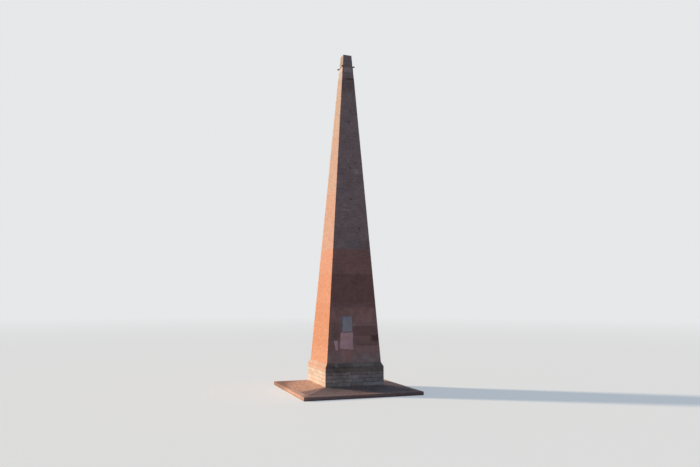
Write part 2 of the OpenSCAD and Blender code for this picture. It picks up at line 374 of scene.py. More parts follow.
# Painted light: paler on the left of the front, where the sun grazes it
stain(sett_stone, (-2.9, -3.5, 0), (-0.5, -2.6, 1), 0.7, "#b79b95", 0.28)
sett_rng = np.random.default_rng(3)
SETT_JOINT = 0.011
SETT_DEPTH = 0.07
SETT_WIDTHS = 0.13, 0.22
SETT_LENGTHS = 0.17, 0.42
SETT_PROUD = 0.002, 0.008
rows = plinth_half + stone_lengths(kerb_inner - plinth_half, *SETT_WIDTHS, sett_rng)
for number, side in enumerate(SIDES):
    setts = []
    for inner, outer in zip(rows, rows[1:]):
        joints = stone_lengths(2 * inner, *SETT_LENGTHS, sett_rng) - inner
        for start, end in zip(joints, joints[1:]):
            sett = np.empty((2, 2, 2, 3))
            for a, d, t in CORNERS:
                reach = inner + SETT_JOINT / 2 if d else outer - SETT_JOINT / 2
                along = (start, end)[a]
                if abs(along) > inner - 0.001:
                    along = math.copysign(reach, along)
                along -= math.copysign(SETT_JOINT / 2, a - 0.5)
                proud = sett_rng.uniform(*SETT_PROUD) if t else -SETT_DEPTH
                sett[a, d, t] = along, -reach, apron_z(reach) + proud
            setts.append(sett)
    worn_blocks("setts_" + side, turned(np.array(setts), number), sett_stone, sett_rng,
                wear=0.012, cells=(3, 2, 1), sway=(0.006, 0.006, 0.0016), swell=0.22, shown=((2, 1),))
    wear_on_node("apron_" + side, bed_mortar)

# Kerb. Long blocks of rough-dressed sandstone set on edge round the apron, eight to a side, which
# hold the setts in. They meet in a mitre at the corners and their joints are pointed in lime mortar.

# Rough-dressed sandstone: buff to pink, its arrises knocked off and its faces pecked.
kerb_stone = mineral("rough_dressed_sandstone", ("#c3947c", "#dbaa8e", "#e4b79c"), cloud_mm=200, grit_mm=6,
                     relief_mm=3, roughness=0.9, by_unit=0.4)
speckle(kerb_stone, 60, 0.42, 0.14, "#a08b78", 0.5)
# It is darker along its foot and towards the back of the left side, and its front is darkened blue-grey,
# partly damp and partly painted shade
stain(kerb_stone, (-4, -4, -0.2), (4, 4, 0.05), 0.12, "#8f7660", 0.5)
stain(kerb_stone, (-3.7, -4, -0.2), (3.7, -3, 1), 0.5, "#8c92a6", 0.6, "MULTIPLY")
stain(kerb_stone, (-4, 0.9, -0.2), (-3, 4.6, 1), 2.6, "#8a7a70", 0.9, "MULTIPLY")
kerb_rng = np.random.default_rng(5)
KERB_STONES = 8
KERB_JOINT = 0.010
KERB_PROUD = 0.009
KERB_FOOT_Z = 0.012
# Each joint lies up to this far from its even place
KERB_UNEVEN = 0.09
for number, side in enumerate(SIDES):
    joints = np.linspace(-kerb_outer, kerb_outer, KERB_STONES + 1)
    joints[1:-1] += kerb_rng.uniform(-KERB_UNEVEN, KERB_UNEVEN, KERB_STONES - 1)
    stones = np.empty((KERB_STONES, 2, 2, 2, 3))
    for i, a, d, t in product(range(KERB_STONES), (0, 1), (0, 1), (0, 1)):
        reach = kerb_inner + KERB_JOINT / 2 if d else kerb_outer + KERB_PROUD
        along = joints[i + a]
        if i + a in (0, KERB_STONES):
            along = math.copysign(reach, along)
        along -= math.copysign(KERB_JOINT / 2, a - 0.5)
        stones[i, a, d, t] = along, -reach, apron_z(reach) + KERB_PROUD if t else KERB_FOOT_Z
    worn_blocks("kerb_stones_" + side, turned(stones, number), kerb_stone, kerb_rng,
                wear=0.015, cells=(6, 2, 2), sway=(0.004, 0.004, 0.003), swell=0.35, chipped=0.15)
    wear_on_node("kerb_" + side, bed_mortar)

# Plinth. Five courses of squared sandstone, each a ring of blocks round the rubble core. Long and
# short quoins alternate at the corners, and the joints are thin and pointed in lime mortar.
STONE_PROUD = 0.005
STONE_DEPTH = 0.3
plinth_rng = np.random.default_rng(7)


def wall_block(half_width, left, right, foot, top, front, back):
    """The corners of a block in a wall that leans back. left and right are its ends' places along the wall,
    or pairs of them, for its foot and its top. foot and top are its heights, or pairs of them, for its left
    and its right. front and back are how far behind the wall's face it starts and ends."""
    x = [np.broadcast_to(left, 2), np.broadcast_to(right, 2)]
    z = [np.broadcast_to(foot, 2), np.broadcast_to(top, 2)]
    block = np.empty((2, 2, 2, 3))
    for a, d, t in CORNERS:
        block[a, d, t] = x[a][t], (back if d else front) - half_width(z[t][a]), z[t][a]
    return block


def lay_ring(name, node, half_width, quoins, lengths, turn, joint, wear):
    """Lays the stones of one course over its CAD node, which shows as pointing. quoins are how far its long
    and its short quoins run along a side, lengths the least and the most of the stones between them, and
    the front's own quoin is a short one if turn is 1."""
    low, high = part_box(node)
    foot, top = low.z + joint / 2, high.z - joint / 2
    middle = half_width((low.z + high.z) / 2)
    corner = half_width(foot) + STONE_PROUD, half_width(top) + STONE_PROUD
    sides = []
    for number in range(4):
        along_quoin, into_quoin = quoins[::-1] if (number + turn) % 2 else quoins
        run = 2 * (middle - along_quoin)
        joints = stone_lengths(run, *lengths, plinth_rng) - run / 2
        spans = [(start, end - joint / 2, STONE_DEPTH) for start, end in zip(joints, joints[1:])]
        spans.append((middle - along_quoin, corner, into_quoin - joint / 2))
        stones = [wall_block(half_width, start + joint / 2, end, foot, top, -STONE_PROUD, deep)
                  for start, end, deep in spans]
        sides.append(turned(np.array(stones), number))
    worn_blocks(name, np.concatenate(sides), plinth_stone, plinth_rng, wear=wear,
                cells=(6, 2, 3), sway=(0.003, 0.003, 0.002), swell=0.25, chipped=0.10)
    wear_on_node(node, pointing)


# Lime pointing: a shade greyer than the stone, gritty, and sunk a few millimetres behind it.
pointing = mineral("lime_pointing", ("#8d7a66", "#a8947d", "#bba890"), cloud_mm=90, grit_mm=3, relief_mm=1.5,
                   roughness=0.95, reach=2.2)
# Squared sandstone: cream, fine-grained and matt, with soft ochre beds, and a darker front that is partly a
# damp skin and partly painted shade. Its beds are 94 mm apart: a wave's bands repeat each 0.314 of its
# scale's size.
plinth_stone = mineral("squared_sandstone", ("#c0a68a", "#dec1a8", "#ebd0b8", "#f4e0ca"), cloud_mm=240,
                       grit_mm=3.5, relief_mm=1.6, roughness=0.86, by_unit=0.55, reach=2.2)
tree = plinth_stone.tree
bedding = add(tree, "TexWave", {"Vector": wandering(plinth_stone, 0.12), "Scale": 0.314 * per_metre(94.2),
                                "Distortion": 9, "Detail": 3, "Detail Scale": 1.5}, bands_direction="Z")
bedded = add(tree, "MapRange", {"Value": bedding.outputs["Fac"], "To Min": 0.93, "To Max": 1.03})
beds = add(tree, "Mix", {0: 1.0, 6: plinth_stone.colour, 7: bedded},
           data_type="RGBA", blend_type="MULTIPLY")
paint(plinth_stone, beds.outputs[2])
speckle(plinth_stone, 30, 0.4, 0.06, "#8a7763", 0.6)
# The mason's broad chisel left slanting furrows 15 mm apart, worn away in places. Slanting bands repeat
# each 0.444 of the scale's size.
furrow = add(tree, "TexWave", {"Vector": wandering(plinth_stone, 0.004), "Scale": 0.444 * per_metre(15),
                               "Distortion": 1.5, "Detail": 2, "Detail Scale": 2},
             bands_direction="DIAGONAL")
kept = add(tree, "TexNoise", {"Vector": plinth_stone.place, "Scale": per_metre(160), "Detail": 3})
left_over = add(tree, "MapRange", {"Value": kept.outputs["Fac"], "From Min": 0.4, "From Max": 0.6})
cut = add(tree, "Math", {0: furrow.outputs["Fac"], 1: left_over}, operation="MULTIPLY")
under = plinth_stone.shader.inputs["Normal"].links[0].from_socket
tooled = add(tree, "Bump", {"Strength": 0.8, "Distance": 0.0016, "Height": cut, "Normal": under})
tree.links.new(tooled.outputs[0], plinth_stone.shader.inputs["Normal"])


def front_stain(look, left, right, foot, top, soft, colour, strength, blend="MIX", **rest):
    """Stains the front between these places, measured to the right of its middle, and these heights. rest
    is what else stain can be given."""
    stain(look, (left, -look.reach, foot), (right, 0, top), soft, colour, strength, blend, front=True, **rest)


# The whole front of the plinth and its weathering course: left, right, foot and top
PLINTH_FRONT = -2.2, 2.2, 0.2, 2
for look in (plinth_stone, pointing):
    # Brick dust has washed down over the slope and the top course
    stain(look, (-2.2, -2.2, 1.36), (2.2, 2.2, 2), 0.3, "#ca8c68", 0.6, wander=0.06)
    # The front never dries out: algae darken it in patches, most of all along the slope, with lime between
    # The whole front is darkened a little: partly damp skin and partly painted shade
    front_stain(look, *PLINTH_FRONT, 0.1, "#b1afab", 0.24, "MULTIPLY")
    front_stain(look, -2.2, 2.2, 1.3, 2, 0.3, "#928a79", 0.75, wander=0.06)
    front_stain(look, *PLINTH_FRONT, 0.1, "#77716f", 0.22, "MULTIPLY", patch_mm=300)
    front_stain(look, -1.1, 0.6, 0.60, 1.12, 0.3, "#baafa6", 0.7, patch_mm=190)
    front_stain(look, 0.75, 1.8, 0.45, 1.16, 0.3, "#b3a99f", 0.5, patch_mm=230)
    front_stain(look, -1.85, -0.45, 1.18, 1.70, 0.3, "#66615f", 0.34, "MULTIPLY")
    for place, strength in (((-1.75, -0.60, 1.12, 1.34), 0.40), ((-0.60, -0.32, 1.12, 1.34), 0.22),
                            ((-1.30, -0.55, 0.67, 0.89), 0.30), ((0.62, 1.80, 0.67, 0.89), 0.34),
                            ((1.15, 1.80, 0.90, 1.11), 0.36), ((-1.02, -0.72, 0.90, 1.11), 0.34),
                            ((-1.02, -0.50, 0.45, 0.66), 0.32), ((-1.00, -0.10, 1.48, 1.81), 0.30)):
        front_stain(look, *place, 0.14, "#8a8078", strength, "MULTIPLY")
    for place, strength in (((0.25, 1.08, 0.92, 1.11), 0.24), ((-0.36, 0.00, 0.68, 0.92), 0.30),
                            ((0.85, 1.78, 0.52, 0.69), 0.24), ((-0.25, 0.10, 1.14, 1.33), 0.10),
                            ((0.45, 0.85, 1.18, 1.42), 0.10), ((-0.72, -0.52, 0.98, 1.11), 0.20),
                            ((-1.85, -1.32, 0.45, 1.45), 0.12)):
        front_stain(look, *place, 0.14, "#e9ddd0", strength)
    front_stain(look, -0.62, 0.50, 0.68, 0.89, 0.12, "#dac2a6", 0.50)
    # Partly paler stone and partly painted light: the lowest course of the front is lifted warm, standing in
    # for light thrown up from the apron
    front_stain(look, -1.80, 1.80, 0.44, 0.66, 0.10, "#dcbf9e", 0.20)
# Some of the front's stones have taken more of the film than others, and its joints have gone dark
front_stain(plinth_stone, *PLINTH_FRONT, 0.1, "#77736f", 0.26, "MULTIPLY", units=True)
front_stain(pointing, *PLINTH_FRONT, 0.1, "#5f5a55", 0.65, "MULTIPLY")
for course in range(1, 6):
    lay_ring("plinth_stones_%d" % course, "plinth_course_%d" % course, lambda z: plinth_half,
             quoins=(0.78, 0.42), lengths=(0.5, 0.86), turn=(course - 1) % 2, joint=0.011, wear=0.011)

# Weathering course. One course of sandstone cut to a steep slope, which carries the wall in from the
# plinth to the shaft and throws off the rain. The stones are bedded like those below them.
weathering_low, weathering_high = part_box("weathering_course")
shaft_foot_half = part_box("shaft_lift_1")[1].x


def weathering_half(z):
    """Half the weathering course's width at this height."""
    share = (z - weathering_low.z) / (weathering_high.z - weathering_low.z)
    return plinth_half + (shaft_foot_half - plinth_half) * share


lay_ring("weathering_stones", "weathering_course", weathering_half, quoins=(0.9, 0.5),
         lengths=(0.6, 0.95), turn=1, joint=0.009, wear=0.013)

# Shaft. 215 courses of hand-made bricks in English bond: a course of stretchers on two sides lies over
# one of headers, and each corner is a whole brick that turns it. The faces are cut to the batter.
# The CAD lifts are the mortar here, and the bricks stand a few millimetres out of them.
BRICK_LENGTH = 0.228
BRICK_WIDTH = 0.110
BRICK_JOINT = 0.009
BRICK_PROUD = 0.005
GAUGE = 0.084
shaft_foot_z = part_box("shaft_lift_1")[0].z
shaft_top_z, shaft_top_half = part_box("neck_course")[0].z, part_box("neck_course")[1].x
BATTER = (shaft_foot_half - shaft_top_half) / (shaft_top_z - shaft_foot_z)


def shaft_half(z):
    """Half the shaft's width at this height."""
    return shaft_foot_half - (z - shaft_foot_z) * BATTER


# The scaffold's putlog holes, one header wide: each one's course and its place to the right of the middle
PUTLOGS = ((97, 0.52), (119, 0.0), (143, 0.0), (179, 0.0))
PUTLOG_WIDTH = 0.11
# The bricks lap this far over the right edge of the grey slab
SLAB_LAP = 0.045
# The least width of a brick that ends a course, and of a piece cut at a gap
LEAST_CLOSER = 0.045
LEAST_PIECE = 0.02


def gaps_in(course, number):
    """The stretches of one side's course that hold no brick: the putlog holes and the grey slab."""
    here = [x for at, x in PUTLOGS if at == course and number in (0, 2)]
    gaps = [(x - PUTLOG_WIDTH / 2, x + PUTLOG_WIDTH / 2) for x in here]
    low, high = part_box("blocking_upper")
    if number == 0 and low.z < shaft_foot_z + (course + 0.5) * GAUGE < high.z:
        gaps.append((low.x, high.x - SLAB_LAP))
    return gaps


def bricks_between(limit, pitch, shift, gaps):
    """The bricks of one course between -limit and limit, plumb over those two courses below, each as its
    start and end."""
    first = math.floor((-limit - shift) / pitch)
    centres = [shift + k * pitch for k in range(first, 2 - first)]
    half = (pitch - BRICK_JOINT) / 2
    runs = [(max(centre - half, -limit), min(centre + half, limit)) for centre in centres]
    runs = [r for r in runs if r[1] - r[0] > LEAST_CLOSER]
    runs[0], runs[-1] = (-limit, runs[0][1]), (runs[-1][0], limit)
    for low, high in gaps:
        cut = []
        for start, end in runs:
            cut += [(start, min(end, low))] if start < low else []
            cut += [(max(start, high), end)] if end > high else []
        runs = [r for r in cut if r[1] - r[0] > LEAST_PIECE]
    return runs


# How far back a brick of the face reaches into the mortar, and the width of its soft edges
BRICK_DEPTH = 0.03
BRICK_EDGES = 0.0025, 0.0045
# The share of the bricks whose edges are broken, and how many times wider those are
BROKEN_SHARE = 0.06
BROKEN_WIDER = 1.8
# How much the bricks differ in how far they stand out and in their lean, how far their corners lie from
# their true places, and how far the courses rise and fall along a side
PROUD_SPREAD = 0.0008
LEAN_SPREAD = 0.0005
OUT_OF_TRUE = 0.0012
COURSE_WAVE = 0.0012


def face_bricks(name, number, bricks, z_range, look, rng):
    """One side's bricks in one lift. bricks gives each one's start, end, foot and top. Only its face and
    edges show, so it is a closed box with soft front edges, sunk in the mortar."""
    start, end, foot, top = np.array(bricks).T
    count = len(bricks)
    soft = rng.uniform(*BRICK_EDGES, count)
    soft[rng.uniform(size=count) < BROKEN_SHARE] *= BROKEN_WIDER
    proud = BRICK_PROUD + rng.normal(0, PROUD_SPREAD, count).clip(-0.002, 0.002)
    lean = rng.normal(0, LEAN_SPREAD, count)
    rim_x = np.stack([start, end, end, start], 1) + rng.uniform(-OUT_OF_TRUE, OUT_OF_TRUE, (count, 4))
    rim_z = np.stack([foot, foot, top, top], 1) + rng.uniform(-OUT_OF_TRUE, OUT_OF_TRUE, (count, 4))
    in_x, in_z = np.array([1, -1, -1, 1]), np.array([1, 1, -1, -1])
    x = np.concatenate([rim_x + in_x * soft[:, None], rim_x, rim_x], axis=1)
    z = np.concatenate([rim_z + in_z * soft[:, None], rim_z, rim_z], axis=1)
    tip = lean[:, None] * in_x
    depth = np.concatenate([tip - proud[:, None], tip + (soft - proud)[:, None],
                            np.full((count, 4), BRICK_DEPTH)], axis=1)
    wave = undulation(np.stack([x, 0 * x, z], -1), 1.8, np.random.default_rng(number)) * COURSE_WAVE
    points = np.stack([x + wave[..., 0], depth - shaft_half(z), z + wave[..., 2]], -1)
    ring = np.array([[0, 1], [1, 2], [2, 3], [3, 0]])
    edges = [(b + 4, c + 4, c, b) for b, c in ring] + [(b + 8, c + 8, c + 4, b + 4) for b, c in ring]
    faces = np.array([(0, 1, 2, 3), (11, 10, 9, 8), *edges])
    # The map for baking: the wall laid flat, with each brick's beds in the joints round it and the backs in
    # a low strip
    spread = BRICK_JOINT * 0.4
    flat_x = np.concatenate([x[:, :8], x[:, 8:] - in_x * spread], axis=1)
    flat_z = np.concatenate([z[:, :8], z[:, 8:] - in_z * spread], axis=1)
    strip = 0.02
    wide = shaft_half(z_range[0]) + 0.02
    u = (flat_x / wide + 1) / 2
    v = strip + (1 - strip) * (flat_z - z_range[0]) / (z_range[1] - z_range[0])
    places = np.stack([u, v], -1)[:, faces]
    slots = (np.arange(count)[:, None] + np.array([0.8, 0.2, 0.2, 0.8])) / count
    backs = np.broadcast_to(np.array([0.2, 0.2, 0.8, 0.8]) * strip * 0.8, (count, 4))
    places[:, 1] = np.stack([slots, backs], -1)
    tones = np.repeat(rng.uniform(size=count), len(faces))
    all_faces = (faces[None] + (np.arange(count) * 12)[:, None, None]).reshape(-1, 4)
    points = turned(points, number).reshape(-1, 3)
    make_piece(name, points, all_faces, tones, look, places.reshape(-1, 2))


def burnt_brick(name, tones, roughness=0.9):
    """One burning of the hand-made clay bricks: matt, gritty and pitted, with burnt iron and lime in it."""
    look = mineral(name, tones, cloud_mm=120, grit_mm=4, relief_mm=1.6, roughness=roughness, by_unit=0.55)
    speckle(look, 26, 0.45, 0.12, "#74493a", 0.5)
    speckle(look, 40, 0.42, 0.08, "#dcc6b2", 0.5)
    return look


# Lime mortar of the shaft: gritty and pale, greyed by soot and salt.
shaft_mortar = mineral("weathered_lime_mortar", ("#9b785f", "#b59378", "#c8a88c"), cloud_mm=140, grit_mm=3,
                       relief_mm=1.2, roughness=0.95)
# Bricks open-fired in a clamp: salmon and orange with darker ends.
mottled_brick = burnt_brick("clamp_fired_brick_mottled", ("#c5805d", "#dc956e", "#e49e75", "#eba982"))
# The hardest-fired of the same bricks: redder, with less spread.
dark_brick = burnt_brick("clamp_fired_brick_dark", ("#c98263", "#dd9672", "#e59e78", "#eaa680"), 0.88)
# The red ones between the two.
red_brick = burnt_brick("clamp_fired_brick_red", ("#ca8869", "#df9c7a", "#e6a482", "#edaf8c"))
# Bricks of another burning, bleached by the weather: first pinkish buff.
pink_buff_brick = burnt_brick("weathered_brick_pink_buff", ("#bf8d74", "#d5a389", "#ddae93", "#e5b79e"))
# Then a plain, duller buff.
buff_brick = burnt_brick("weathered_brick_buff", ("#b88f78", "#cfa68c", "#d7b097", "#debaa4"))
# And near the top the palest, yellowest ones.
pale_buff_brick = burnt_brick("weathered_brick_pale_buff", ("#b8927b", "#cea98f", "#d6b49a", "#debea6"))
LIFTS = (mottled_brick, dark_brick, red_brick, pink_buff_brick, buff_brick, pale_buff_brick)
# The whole front of the shaft, and the darkening that lies on each look's share of it, partly a damp film and
# partly painted shade
SHAFT_FRONT = -2, 2, 1.7, 20
FILMS_AND_SHADE = ("#d2d7e4", "#d7e8f9", "#c8d2e7", "#cbe1f6", "#d4e0f1", "#d4dfee", "#d3dff2")
for look, film_and_shade in zip((*LIFTS, shaft_mortar), FILMS_AND_SHADE):
    # The front is darkened grey-blue all over, partly by a film of soot and algae and partly as painted
    # shade, and the film is thicker in patches
    front_stain(look, *SHAFT_FRONT, 0.1, film_and_shade, 1.0, "MULTIPLY")
    front_stain(look, *SHAFT_FRONT, 0.1, "#7c7b82", 0.15, "MULTIPLY", patch_mm=700)
for look in (mottled_brick, shaft_mortar):
    # Salt bleaches the foot of the wall, and its top is the reddest
    stain(look, (-2, -2, 1.6), (2, 2, 2.5), 0.6, "#f2cdb0", 0.10)
    stain(look, (-2, -2, 4.3), (2, 2, 5.4), 0.6, "#d08058", 0.16)
    # The lowest lift's front is greyed all over, most at its foot, and paler between the slab and the top
    front_stain(look, -2, 2, 1.7, 5.4, 0.1, "#a89391", 0.3)
    front_stain(look, -2, 2, 1.7, 2.4, 0.5, "#bbac99", 0.55, patch_mm=400)
    front_stain(look, -1.3, 1.45, 4.3, 5.15, 0.5, "#d8a697", 0.36, patch_mm=400)
    front_stain(look, -1.2, 0.2, 4.5, 5.4, 0.5, "#9fd0c8", 0.12, "MULTIPLY")
    front_stain(look, -2, 2, 5.12, 5.4, 0.35, "#b9b7cf", 0.4, "MULTIPLY")
    front_stain(look, -1.02, -0.84, 2.6, 3.36, 0.1, "#d69889", 0.4, wander=0.03)
    front_stain(look, 0.00, 0.20, 3.42, 3.64, 0.12, "#c79a90", 0.35, wander=0.03)
    front_stain(look, -0.06, 0.07, 2.60, 2.98, 0.1, "#c79a8a", 0.40, wander=0.03)
    # Pink wash run down from the render, and beside the opening a damp zone under a thin line of lime
    front_stain(look, -0.80, -0.10, 1.98, 2.75, 0.4, "#d69889", 0.55, wander=0.25)
    front_stain(look, -1.35, -0.86, 3.2, 4.35, 0.3, "#77706b", 0.14, "MULTIPLY")
    front_stain(look, -0.89, -0.735, 3.70, 4.46, 0.08, "#938e83", 0.5, wander=0.03)
    front_stain(look, -0.02, 1.60, 3.40, 4.00, 0.12, "#8d8580", 0.28, "MULTIPLY", wander=0.03)
    front_stain(look, -0.06, 1.60, 4.02, 4.08, 0.05, "#d9b09c", 0.25, wander=0.01)
    front_stain(look, 1.15, 1.80, 3.07, 3.42, 0.25, "#64422f", 0.62, "MULTIPLY")
    # Algae beside the render's top and its lower right, and paler places over the lime and under the render
    front_stain(look, -1.36, -1.06, 3.24, 3.58, 0.25, "#6a665a", 0.42, wander=0.05)
    front_stain(look, 0.05, 0.38, 2.78, 3.12, 0.25, "#6a665a", 0.25, wander=0.05)
    front_stain(look, 0.98, 1.60, 5.02, 5.40, 0.3, "#8c8c90", 0.24, "MULTIPLY")
    front_stain(look, 0.52, 1.12, 4.18, 4.42, 0.22, "#dcae9c", 0.32, wander=0.05)
    front_stain(look, -0.14, 0.12, 3.98, 4.18, 0.14, "#d9b09c", 0.32, wander=0.02)
    front_stain(look, -0.92, -0.60, 2.20, 2.56, 0.2, "#cfa196", 0.40, wander=0.05)
    front_stain(look, 0.45, 1.35, 1.85, 2.12, 0.2, "#c4baad", 0.26, wander=0.05)
    front_stain(look, 1.12, 1.40, 3.42, 3.60, 0.15, "#b58f83", 0.22, wander=0.03)
    front_stain(look, 0.30, 1.50, 2.84, 2.90, 0.12, "#7a655c", 0.35, "MULTIPLY", wander=0.05)
    front_stain(look, 0.10, 1.60, 2.45, 2.82, 0.2, "#cf9f90", 0.45)
for look in (dark_brick, shaft_mortar):
    # The second lift's front is the darkest
    front_stain(look, -2, 2, 5.3, 7.2, 0.3, "#b9b7cf", 0.6, "MULTIPLY", wander=0.08)
for look in (pink_buff_brick, shaft_mortar):
    front_stain(look, -0.5, 0.4, 8.6, 9.3, 0.5, "#83857a", 0.3)
    front_stain(look, 0.45, 1.2, 8.6, 9.25, 0.3, "#9a7f78", 0.28, "MULTIPLY")
# Lime has run from a few joints and was spilt below a putlog hole, and the bricks just under the neck stone
# are darker
for place in ((-0.62, -0.18, 11.12, 11.20), (-0.55, -0.30, 11.42, 11.48), (-0.60, -0.48, 10.66, 10.72)):
    front_stain(pink_buff_brick, *place, 0.1, "#d8cdbb", 0.4, wander=0.03)
front_stain(buff_brick, -0.16, -0.04, 14.25, 14.45, 0.15, "#d3ccba", 0.3, wander=0.03)
front_stain(buff_brick, 0.30, 0.54, 13.5, 13.8, 0.15, "#d3ccba", 0.42, wander=0.03)
for look in (pale_buff_brick, shaft_mortar):
    front_stain(look, -1, 1, 18.9, 20, 0.8, "#8d8478", 0.35, "MULTIPLY")
    front_stain(look, -0.1, 1, 19.75, 20, 0.1, "#5d564f", 0.6, "MULTIPLY", wander=0.02)
brick_rng = np.random.default_rng(11)
for lift, look in enumerate(LIFTS):
    node = "shaft_lift_%d" % (lift + 1)
    low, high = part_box(node)
    first = round((low.z - shaft_foot_z) / GAUGE)
    courses = range(first, first + round((high.z - low.z) / GAUGE))
    sides, quoins = [[], [], [], []], []
    for course in courses:
        foot = shaft_foot_z + course * GAUGE + BRICK_JOINT / 2
        top = foot + GAUGE - BRICK_JOINT
        halves = np.array([shaft_half(foot), shaft_half(top)])
        for number in range(4):
            stretching = (course + number) % 2 == 0
            along, into = (BRICK_LENGTH, BRICK_WIDTH) if stretching else (BRICK_WIDTH, BRICK_LENGTH)
            limit = halves[1] - along - BRICK_JOINT
            pitch = along + BRICK_JOINT
            runs = bricks_between(limit, pitch, pitch / 2 if stretching else 0, gaps_in(course, number))
            sides[number] += [(start, end, foot, top) for start, end in runs]
            quoin = wall_block(shaft_half, halves - along, halves + BRICK_PROUD, foot, top,
                               -BRICK_PROUD, into)
            quoins.append(turned(quoin, number))
    for number, side in enumerate(SIDES):
        face_bricks("bricks_%d_%s" % (lift + 1, side), number, sides[number], (low.z, high.z), look,
                    brick_rng)
    worn_blocks("quoin_bricks_%d" % (lift + 1), np.array(quoins), look, brick_rng,
                wear=0.005, sway=(0.001, 0.001, 0.001), swell=0.2)
    wear_on_node(node, shaft_mortar)

# Putlog stops. When the scaffold came down each hole was stopped with a dab of mortar, pushed in
# behind the face of the bricks and since weathered back.
STOP_BEHIND_FACE = 0.055
STOP_DEPTH = 0.05
STOP_PLAY = 0.004
stops = []
for course, middle in PUTLOGS:
    foot = shaft_foot_z + course * GAUGE + BRICK_JOINT / 2
    half = (PUTLOG_WIDTH - STOP_PLAY) / 2
    stop = wall_block(shaft_half, middle - half, middle + half, foot, foot + (GAUGE - BRICK_JOINT),
                      STOP_BEHIND_FACE, STOP_BEHIND_FACE + STOP_DEPTH)
    stops += [stop, turned(stop, 2)]
worn_blocks("putlog_stops", np.array(stops), shaft_mortar, brick_rng,
            wear=0.008, cells=(4, 1, 4), sway=(0.002, 0.004, 0.002), swell=0.06)

# Blockings. The opening low in the front was walled up: above with one blue-grey slab set back from the
# bricks, which lap over its right edge, and below in brick under a floated coat of pink lime render. A
# small repair beside it has the same render, and both coats have come away along some of their edges.
COAT_PROUD = 0.0085
COAT_DEPTH = 0.05
render_rng = np.random.default_rng(13)


def render_coat(name, node, left, right, foot, top, cells):
    """A coat of render over a CAD blocking, which shows as mortar where it has come away. Its outline is
    given as for wall_block."""
    coat = wall_block(shaft_half, left, right, foot, top, -COAT_PROUD, COAT_DEPTH)
    worn_blocks(name, coat[None], pink_render, render_rng, wear=0.006, cells=cells,
                sway=(0.012, 0.0010, 0.010), swell=0.75)
    wear_on_node(node, shaft_mortar)


# Pink lime render, floated: soft pink, chalky and matt, with trowel sweeps and darker damp patches.
pink_render = mineral("floated_lime_render", ("#f0b6a6", "#f9c3b6", "#fdd0c4"), cloud_mm=220, grit_mm=5,
                      relief_mm=1.4, roughness=0.93)
speckle(pink_render, 45, 0.42, 0.05, "#c9968a", 0.6)
stain(pink_render, (-1.4, -2, 2.4), (0.1, -1.3, 3.8), 0.1, "#dcac9e", 0.32, patch_mm=240)
stain(pink_render, (-0.8, -2, 2.5), (-0.1, -1.3, 2.62), 0.2, "#d9a496", 0.5)
# Riven slate slab: blue-grey, smoother than the masonry, with a faint sheen and lime bloom.
slate = mineral("riven_slate_slab", ("#a29c96", "#b5aea7", "#c3bcb4"), cloud_mm=240, grit_mm=8,
                relief_mm=2.5, roughness=0.68)
slab_low, slab_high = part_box("blocking_upper")
stain(slate, (slab_low.x - 0.1, -2, 3.6), (slab_low.x + 0.02, 0, 4.7), 0.08, "#6a6a6c", 0.7, wander=0.02)
stain(slate, (slab_low.x, -2, 4.38), (slab_high.x, 0, 4.6), 0.12, "#a3a6ac", 0.6, wander=0.02)
stain(slate, (slab_low.x, -2, 3.6), (slab_high.x, 0, 3.95), 0.3, "#ccc6c1", 0.4, wander=0.05)
low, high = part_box("blocking_lower")
render_coat("render_patch", "blocking_lower", left=(low.x - 0.06, low.x + 0.01), right=high.x - 0.02,
            foot=(low.z + 0.09, low.z + 0.02), top=high.z - 0.05, cells=(40, 1, 54))
low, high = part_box("repair_patch")
render_coat("small_render_patch", "repair_patch", left=(low.x + 0.09, low.x - 0.05), right=high.x - 0.03,
            foot=low.z - 0.01, top=(high.z - 0.02, high.z - 0.01), cells=(14, 1, 30))
wear_on_node("blocking_upper", slate)
# The mortar behind the bricks that lap over the slab, stopping a little inside their ends
LAP_SHORT = 0.002
LAP_DEPTH = 0.03
lap = wall_block(shaft_half, slab_high.x - (SLAB_LAP - LAP_SHORT), slab_high.x, slab_low.z, slab_high.z,
                 0, LAP_DEPTH)
worn_blocks("slab_edge_mortar", lap[None], shaft_mortar, render_rng, wear=0.002)

# Head. Two single stones, the neck and the collar, close the brickwork, and a tapered cap stone with a
# flat top stands on them. They are bedded in a thin joint of mortar and held by the iron band.

# Weathered sandstone of the head: grey-buff, rough and pitted, with blotches of grey and orange lichen.
head_stone = mineral("weathered_head_sandstone", ("#a38770", "#bc9d85", "#cba991"), cloud_mm=130,
                     grit_mm=7, relief_mm=5, roughness=0.92, reach=1)
stain(head_stone, (-1, -1, 20.6), (1, 1, 22), 0.1, "#8f8b7c", 0.6, patch_mm=110)
speckle(head_stone, 40, 0.5, 0.14, "#c99a62", 0.5)
speckle(head_stone, 17, 0.5, 0.3, "#6a5848", 0.45)
# The collar and neck, sheltered under the cap: the same stone, cleaner and creamier, with rust run down it.
collar_stone = mineral("sheltered_collar_sandstone", ("#caad9b", "#e0c1ae", "#ecd2be"), cloud_mm=130,
                       grit_mm=7, relief_mm=4, roughness=0.9, reach=1)
stain(collar_stone, (-1, -1, 19.7), (1, 1, 20.8), 0.1, "#b3a294", 0.45, patch_mm=90)
speckle(collar_stone, 19, 0.45, 0.25, "#8d7766", 0.4)
